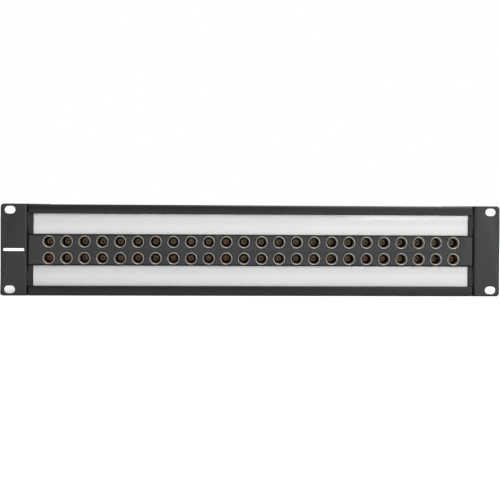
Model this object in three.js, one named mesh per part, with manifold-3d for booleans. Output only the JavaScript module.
// Rack patch bay, 19 inch wide and two units high: two bent steel brackets carry two aluminium
// rails, and between the rails stands a row of dual coaxial jacks behind one long panel strip.
//
// Millimetres, +Z up, front towards -Y. The unit is drawn with y = 0 on the front face of the
// rack ears and z = 0 under the brackets, then moved back so that the origin lies at the
// middle of the bottom of its box.

import * as THREE from 'three';
import { mergeVertices } from 'three/addons/utils/BufferGeometryUtils.js';
import Module from 'manifold-3d';

// Rack standard.
const RACK_WIDTH = 482.6;
const RACK_HEIGHT = 88.1;
const SLOT_SPACING_X = 465.1;
const SLOT_SPACING_Z = 76.2;
const SLOT_LENGTH = 10.4;
const SLOT_WIDTH = 7.3;

// Brackets.
const SHEET = 2;
const EAR_WIDTH = 25.4;
const BEND_RADIUS = 3;
const EAR_CORNER = 3.2;
const BRACKET_DEPTH = 140;
const REAR_CHAMFER = 12;

// Clearance that touching pieces keep.
const GAP = 0.3;

// Rails, measured from the outer side of the rail towards the jacks.
const RAIL_INSET = 0.45;
const RAIL_CHAMFER = 1.2;
const LABEL_START = 9.1;
const LABEL_END = 29.2;
const RAIL_EDGE = 30;
const LIP_RECESS = 0.3;
const CHANNEL_FLOOR = 3.4;
const WEB_BACK = 7;
const RAIL_DEPTH = 22;
const GROOVE_FLOOR = 10;
const GROOVE_START = 2.9;
const GROOVE_END = 6.9;

// Label cards and their clear covers.
const CARD_LENGTH = 420.8;
const CARD_THICKNESS = 0.5;
const COVER_FRONT = 0.5;
const COVER_THICKNESS = 1.5;
const COVER_LEG_BACK = 3.1;

// Jack panel and the row of dual jacks.
const COLUMNS = 24;
const COLUMN_PITCH = 17;
const SOCKET_SPACING = 15.875;
const PANEL_THICKNESS = 2;
const PANEL_HOLE_RADIUS = 6.25;
const BARREL_RADIUS = 5.9;
const BARREL_PROUD = 0.8;
const BORE_RADIUS = 4.8;
const BORE_DEPTH = 21;
const ROUND_SIDES = 8;

const JACK_WIDTH = 16.4;
const FLANGE_HEIGHT = 42;
const FLANGE_THICKNESS = 3;
const BODY_WIDTH = 14.6;
const BODY_HEIGHT = 34;
const BODY_BACK = 62;
const CHAMBER_WIDTH = 2 * BORE_RADIUS;
const CHAMBER_HEIGHT = SOCKET_SPACING + 2 * BORE_RADIUS;
const CHAMBER_FRONT = 20;
const CHAMBER_BACK = 28;

// Insulator in the middle of each bore, which holds the centre contact.
const INSULATOR_RADIUS = 3;
const INSULATOR_FRONT = 8.6;
const INSULATOR_SIDES = 8;

const REAR_SPACING = 19.05;
const REAR_NECK_RADIUS = 6;
const REAR_NECK_BACK = 66;
const REAR_BARREL_RADIUS = 4.85;
const REAR_BARREL_BACK = 80;
const REAR_SIDES = 8;

// Normalling slide: two rings round the insulators, which the sleeves of the plugs push,
// joined by a bar in the chamber.
const SLIDE_RING_RADIUS = 4.25;
const SLIDE_RING_FRONT = 16;
const SLIDE_HOLE_RADIUS = 3.4;
const SLIDE_BAR_WIDTH = 9;
const SLIDE_BAR_HEIGHT = 24.6;
const SLIDE_BAR_FRONT = 21.3;
const SLIDE_BAR_BACK = 23.8;

// End blocks and cable support bar.
const END_BLOCK_BACK = 26;
const SUPPORT_BAR_RADIUS = 4;
const SUPPORT_BAR_Y = 128;
const SUPPORT_BAR_SIDES = 16;

// How far a cutting or joining solid runs past the surface it crosses.
const OVERRUN = 1;

// Places that follow from the driving dimensions.
const MID_Z = RACK_HEIGHT / 2;
const EAR_OUTER_X = RACK_WIDTH / 2;
const BRACKET_INNER_X = EAR_OUTER_X - EAR_WIDTH;
const RAIL_END_X = BRACKET_INNER_X - GAP - 0.1;
const STRIP_HEIGHT = RACK_HEIGHT - 2 * RAIL_EDGE - 2 * GAP;
const NOSE_FRONT = PANEL_THICKNESS + GAP;
const FLANGE_FRONT = WEB_BACK + GAP;
const FLANGE_BACK = FLANGE_FRONT + FLANGE_THICKNESS;
const LABEL_HEIGHT = LABEL_END - LABEL_START - 2 * GAP;
const LABEL_MID = (LABEL_START + LABEL_END) / 2;
const CARD_FRONT = COVER_FRONT + COVER_THICKNESS + GAP;
const ROW_EDGE_X = COLUMNS * COLUMN_PITCH / 2;
const DEPTH_MIDDLE = (BRACKET_DEPTH - BARREL_PROUD) / 2;

const wasm = await Module();
wasm.setup();

// ---------- solids and booleans ----------

function solid(geometry) {
  const bare = geometry.clone();
  bare.deleteAttribute('normal');
  bare.deleteAttribute('uv');
  const merged = mergeVertices(bare);
  return new wasm.Manifold(new wasm.Mesh({
    numProp: 3,
    vertProperties: new Float32Array(merged.attributes.position.array),
    triVerts: new Uint32Array(merged.index.array),
  }));
}

function geometryOf(manifold) {
  const mesh = manifold.getMesh();
  const geometry = new THREE.BufferGeometry();
  geometry.setAttribute('position', new THREE.BufferAttribute(new Float32Array(mesh.vertProperties), 3));
  geometry.setIndex(new THREE.BufferAttribute(new Uint32Array(mesh.triVerts), 1));
  geometry.computeVertexNormals();
  return geometry;
}

const join = (first, ...others) => others.reduce((sum, next) => sum.add(next), first);
const cut = (first, ...others) => others.reduce((rest, next) => rest.subtract(next), first);

// A box of the given width and height about the y axis, from y = front to y = back.
function block(width, height, front, back) {
  return new THREE.BoxGeometry(width, back - front, height).translate(0, (front + back) / 2, 0);
}

// A round bar along y from front to back, with its axis at the height z. It is drawn with flat
// sides that lie at the radius, two of them level and two upright, so that the walls of a bore
// run on in the walls of the chamber behind it.
function roundBar(radius, front, back, z, sides) {
  const corner = radius / Math.cos(Math.PI / sides);
  const bar = new THREE.CylinderGeometry(corner, corner, back - front, sides);
  return bar.rotateY(Math.PI / sides).translate(0, (front + back) / 2, z);
}

// An outline drawn in two row axes, given the turn that carries it there, pulled to a length.
function pull(outline, length, turn) {
  const geometry = new THREE.ExtrudeGeometry(outline, { depth: length, bevelEnabled: false, curveSegments: 6 });
  return geometry.applyMatrix4(turn);
}

const AXIS_X = new THREE.Vector3(1, 0, 0);
const AXIS_Y = new THREE.Vector3(0, 1, 0);
const AXIS_Z = new THREE.Vector3(0, 0, 1);
const ALONG_X = new THREE.Matrix4().makeBasis(AXIS_Y, AXIS_Z, AXIS_X);
const ALONG_MINUS_Y = new THREE.Matrix4().makeBasis(AXIS_X, AXIS_Z, AXIS_Y.clone().negate());
const ALONG_Z = new THREE.Matrix4();

const outlineOf = (points) => new THREE.Shape(points.map(([u, v]) => new THREE.Vector2(u, v)));

// Points along a quarter turn of a bend, from one angle to the other.
function arc(centreU, centreV, radius, from, to, steps) {
  return Array.from({ length: steps + 1 }, (_, step) => {
    const angle = from + (to - from) * step / steps;
    return [centreU + radius * Math.cos(angle), centreV + radius * Math.sin(angle)];
  });
}

// ---------- brackets ----------

function rackSlot(side, z) {
  const flat = (SLOT_LENGTH - SLOT_WIDTH) / 2;
  const x = side * SLOT_SPACING_X / 2;
  const slot = new THREE.Path();
  slot.absarc(x + flat, z, SLOT_WIDTH / 2, -Math.PI / 2, Math.PI / 2, false);
  slot.absarc(x - flat, z, SLOT_WIDTH / 2, Math.PI / 2, 3 * Math.PI / 2, false);
  return slot;
}

// The bent sheet seen from above, for the side -1 (left) or +1 (right).
function bentSheet(side) {
  const bendX = BRACKET_INNER_X + BEND_RADIUS;
  const inner = BEND_RADIUS - SHEET;
  const points = [
    [EAR_OUTER_X, 0],
    ...arc(bendX, BEND_RADIUS, BEND_RADIUS, -Math.PI / 2, -Math.PI, 5),
    [BRACKET_INNER_X, BRACKET_DEPTH],
    [BRACKET_INNER_X + SHEET, BRACKET_DEPTH],
    ...arc(bendX, BEND_RADIUS, inner, -Math.PI, -Math.PI / 2, 3),
    [EAR_OUTER_X, SHEET],
  ];
  return outlineOf(points.map(([x, y]) => [side * x, y]));
}

// The bracket seen from the front: rounded outer corners and two slots in the ear.
function earOutline(side) {
  const cornerX = EAR_OUTER_X - EAR_CORNER;
  const points = [
    [BRACKET_INNER_X - OVERRUN, 0],
    ...arc(cornerX, EAR_CORNER, EAR_CORNER, -Math.PI / 2, 0, 3),
    ...arc(cornerX, RACK_HEIGHT - EAR_CORNER, EAR_CORNER, 0, Math.PI / 2, 3),
    [BRACKET_INNER_X - OVERRUN, RACK_HEIGHT],
  ];
  const outline = outlineOf(points.map(([x, z]) => [side * x, z]));
  outline.holes = [-1, 1].map((row) => rackSlot(side, MID_Z + row * SLOT_SPACING_Z / 2));
  return outline;
}

// The bracket seen from the side: the flange loses its two rear corners.
function flangeOutline() {
  return outlineOf([
    [-OVERRUN, 0],
    [BRACKET_DEPTH - REAR_CHAMFER, 0],
    [BRACKET_DEPTH, REAR_CHAMFER],
    [BRACKET_DEPTH, RACK_HEIGHT - REAR_CHAMFER],
    [BRACKET_DEPTH - REAR_CHAMFER, RACK_HEIGHT],
    [-OVERRUN, RACK_HEIGHT],
  ]);
}

function bracketGeometry(side) {
  const sheet = solid(pull(bentSheet(side), RACK_HEIGHT, ALONG_Z));
  const depth = BRACKET_DEPTH + 2 * OVERRUN;
  const front = solid(pull(earOutline(side), depth, ALONG_MINUS_Y).translate(0, depth - OVERRUN, 0));
  const flank = solid(pull(flangeOutline(), RACK_WIDTH + 2 * OVERRUN, ALONG_X)
    .translate(-EAR_OUTER_X - OVERRUN, 0, 0));
  return geometryOf(sheet.intersect(front).intersect(flank));
}

// ---------- rails, panel and end blocks ----------

// Section of a rail in (y, distance from the outer side): face block with a screw groove
// open to the back, label channel, and a thin lip beside the jack panel.
function railGeometry(onTop) {
  const section = [
    [RAIL_CHAMFER, RAIL_INSET],
    [0, RAIL_INSET + RAIL_CHAMFER],
    [0, LABEL_START],
    [CHANNEL_FLOOR, LABEL_START],
    [CHANNEL_FLOOR, LABEL_END],
    [LIP_RECESS, LABEL_END],
    [LIP_RECESS, RAIL_EDGE],
    [WEB_BACK, RAIL_EDGE],
    [WEB_BACK, LABEL_START],
    [RAIL_DEPTH, LABEL_START],
    [RAIL_DEPTH, GROOVE_END],
    [GROOVE_FLOOR, GROOVE_END],
    [GROOVE_FLOOR, GROOVE_START],
    [RAIL_DEPTH, GROOVE_START],
    [RAIL_DEPTH, RAIL_INSET],
  ];
  const outline = outlineOf(section.map(([y, out]) => [y, onTop ? RACK_HEIGHT - out : out]));
  return pull(outline, 2 * RAIL_END_X, ALONG_X).translate(-RAIL_END_X, 0, 0);
}

const columnX = (column) => (column - (COLUMNS - 1) / 2) * COLUMN_PITCH;

function panelGeometry() {
  const strip = solid(block(2 * (RAIL_END_X - GAP), STRIP_HEIGHT, 0, PANEL_THICKNESS));
  const holes = [];
  for (let column = 0; column < COLUMNS; column++) {
    for (const row of [-1, 1]) {
      const hole = roundBar(PANEL_HOLE_RADIUS, -OVERRUN, PANEL_THICKNESS + OVERRUN,
        row * SOCKET_SPACING / 2, ROUND_SIDES);
      holes.push(solid(hole.translate(columnX(column), 0, 0)));
    }
  }
  return geometryOf(cut(strip, ...holes));
}

// The nose that stands between the rails with the flange that bears on their backs,
// as one T-shaped section in (y, z).
function teeOutline(back) {
  const nose = STRIP_HEIGHT / 2;
  const flange = FLANGE_HEIGHT / 2;
  return outlineOf([
    [NOSE_FRONT, -nose],
    [NOSE_FRONT, nose],
    [FLANGE_FRONT, nose],
    [FLANGE_FRONT, flange],
    [back, flange],
    [back, -flange],
    [FLANGE_FRONT, -flange],
    [FLANGE_FRONT, -nose],
  ]);
}

function endBlockGeometry() {
  const width = RAIL_END_X - ROW_EDGE_X;
  return pull(teeOutline(END_BLOCK_BACK), width, ALONG_X).translate(-width / 2, 0, 0);
}

// ---------- dual jack and its slide ----------

function dualJackGeometry() {
  const tee = pull(teeOutline(FLANGE_BACK), JACK_WIDTH, ALONG_X).translate(-JACK_WIDTH / 2, 0, 0);
  const housing = join(solid(tee), solid(block(BODY_WIDTH, BODY_HEIGHT, FLANGE_BACK - OVERRUN, BODY_BACK)));
  const hollows = [solid(block(CHAMBER_WIDTH, CHAMBER_HEIGHT, CHAMBER_FRONT, CHAMBER_BACK))];
  const barrels = [];
  const insulators = [];
  for (const row of [-1, 1]) {
    const z = row * SOCKET_SPACING / 2;
    const rearZ = row * REAR_SPACING / 2;
    barrels.push(
      solid(roundBar(BARREL_RADIUS, -BARREL_PROUD, NOSE_FRONT + OVERRUN, z, ROUND_SIDES)),
      solid(roundBar(REAR_NECK_RADIUS, BODY_BACK - OVERRUN, REAR_NECK_BACK, rearZ, REAR_SIDES)),
      solid(roundBar(REAR_BARREL_RADIUS, BODY_BACK, REAR_BARREL_BACK, rearZ, REAR_SIDES)),
    );
    hollows.push(solid(roundBar(BORE_RADIUS, -BARREL_PROUD - OVERRUN, BORE_DEPTH, z, ROUND_SIDES)));
    insulators.push(solid(roundBar(INSULATOR_RADIUS, INSULATOR_FRONT, CHAMBER_BACK + OVERRUN, z,
      INSULATOR_SIDES)));
  }
  return geometryOf(join(cut(join(housing, ...barrels), ...hollows), ...insulators));
}

function slideGeometry() {
  const rings = [];
  const holes = [];
  for (const row of [-1, 1]) {
    const z = row * SOCKET_SPACING / 2;
    rings.push(solid(roundBar(SLIDE_RING_RADIUS, SLIDE_RING_FRONT, SLIDE_BAR_FRONT + OVERRUN, z,
      INSULATOR_SIDES)));
    holes.push(solid(roundBar(SLIDE_HOLE_RADIUS, SLIDE_RING_FRONT - OVERRUN, SLIDE_BAR_BACK + OVERRUN, z,
      INSULATOR_SIDES)));
  }
  const bar = solid(block(SLIDE_BAR_WIDTH, SLIDE_BAR_HEIGHT, SLIDE_BAR_FRONT, SLIDE_BAR_BACK));
  return geometryOf(cut(join(bar, ...rings), ...holes));
}

// ---------- labels and support bar ----------

// Clear strip over the card, with a leg behind each end that keeps the card between them.
function coverGeometry() {
  const end = RAIL_END_X - GAP;
  const leg = CARD_LENGTH / 2 + GAP;
  const lensBack = COVER_FRONT + COVER_THICKNESS;
  const outline = outlineOf([
    [-end, COVER_FRONT],
    [end, COVER_FRONT],
    [end, COVER_LEG_BACK],
    [leg, COVER_LEG_BACK],
    [leg, lensBack],
    [-leg, lensBack],
    [-leg, COVER_LEG_BACK],
    [-end, COVER_LEG_BACK],
  ]);
  return pull(outline, LABEL_HEIGHT, ALONG_Z).translate(0, 0, -LABEL_HEIGHT / 2);
}

function supportBarGeometry() {
  const bar = new THREE.CylinderGeometry(SUPPORT_BAR_RADIUS, SUPPORT_BAR_RADIUS, 2 * RAIL_END_X,
    SUPPORT_BAR_SIDES);
  return bar.rotateZ(Math.PI / 2);
}

// ---------- materials ----------

const material = (color, roughness, metalness) =>
  new THREE.MeshStandardMaterial({ color, roughness, metalness });

const powderCoat = material(0x2b2b2d, 0.55, 0.1);
const blackAnodised = material(0x1f1f21, 0.4, 0.6);
const blackPlastic = material(0x36363a, 0.6, 0);
const dieCast = material(0xa9aaa8, 0.35, 0.9);
const brownPlastic = material(0x6a4a2c, 0.5, 0);
const cardWhite = material(0xe8e8e6, 0.9, 0);
const clearPlastic = new THREE.MeshStandardMaterial({
  color: 0xf4f6f6, roughness: 0.1, metalness: 0, transparent: true, opacity: 0.2,
});

// ---------- assembly ----------

const unit = new THREE.Group();

function place(name, geometry, finish, x = 0, y = 0, z = 0) {
  const mesh = new THREE.Mesh(geometry, finish);
  mesh.name = name;
  mesh.position.set(x, y, z);
  unit.add(mesh);
}

place('left_rack_bracket', bracketGeometry(-1), powderCoat);
place('right_rack_bracket', bracketGeometry(1), powderCoat);
place('top_rail', railGeometry(true), blackAnodised);
place('bottom_rail', railGeometry(false), blackAnodised);
place('jack_panel', panelGeometry(), blackPlastic, 0, 0, MID_Z);
place('cable_support_bar', supportBarGeometry(), powderCoat, 0, SUPPORT_BAR_Y, MID_Z);

const endBlockX = (ROW_EDGE_X + RAIL_END_X) / 2;
place('left_end_block', endBlockGeometry(), blackAnodised, -endBlockX, 0, MID_Z);
place('right_end_block', endBlockGeometry(), blackAnodised, endBlockX, 0, MID_Z);

const cover = coverGeometry();
const card = block(CARD_LENGTH, LABEL_HEIGHT, CARD_FRONT, CARD_FRONT + CARD_THICKNESS);
for (const [where, z] of [['top', RACK_HEIGHT - LABEL_MID], ['bottom', LABEL_MID]]) {
  place(`${where}_label_cover`, cover, clearPlastic, 0, 0, z);
  place(`${where}_label_card`, card, cardWhite, 0, 0, z);
}

const dualJack = dualJackGeometry();
const slide = slideGeometry();
for (let column = 0; column < COLUMNS; column++) {
  const number = String(column + 1).padStart(2, '0');
  place(`dual_jack_${number}`, dualJack, dieCast, columnX(column), 0, MID_Z);
  place(`normal_slide_${number}`, slide, brownPlastic, columnX(column), 0, MID_Z);
}

const patchBay = new THREE.Group();
patchBay.add(unit);
unit.position.set(0, -DEPTH_MIDDLE, 0);

export default patchBay;
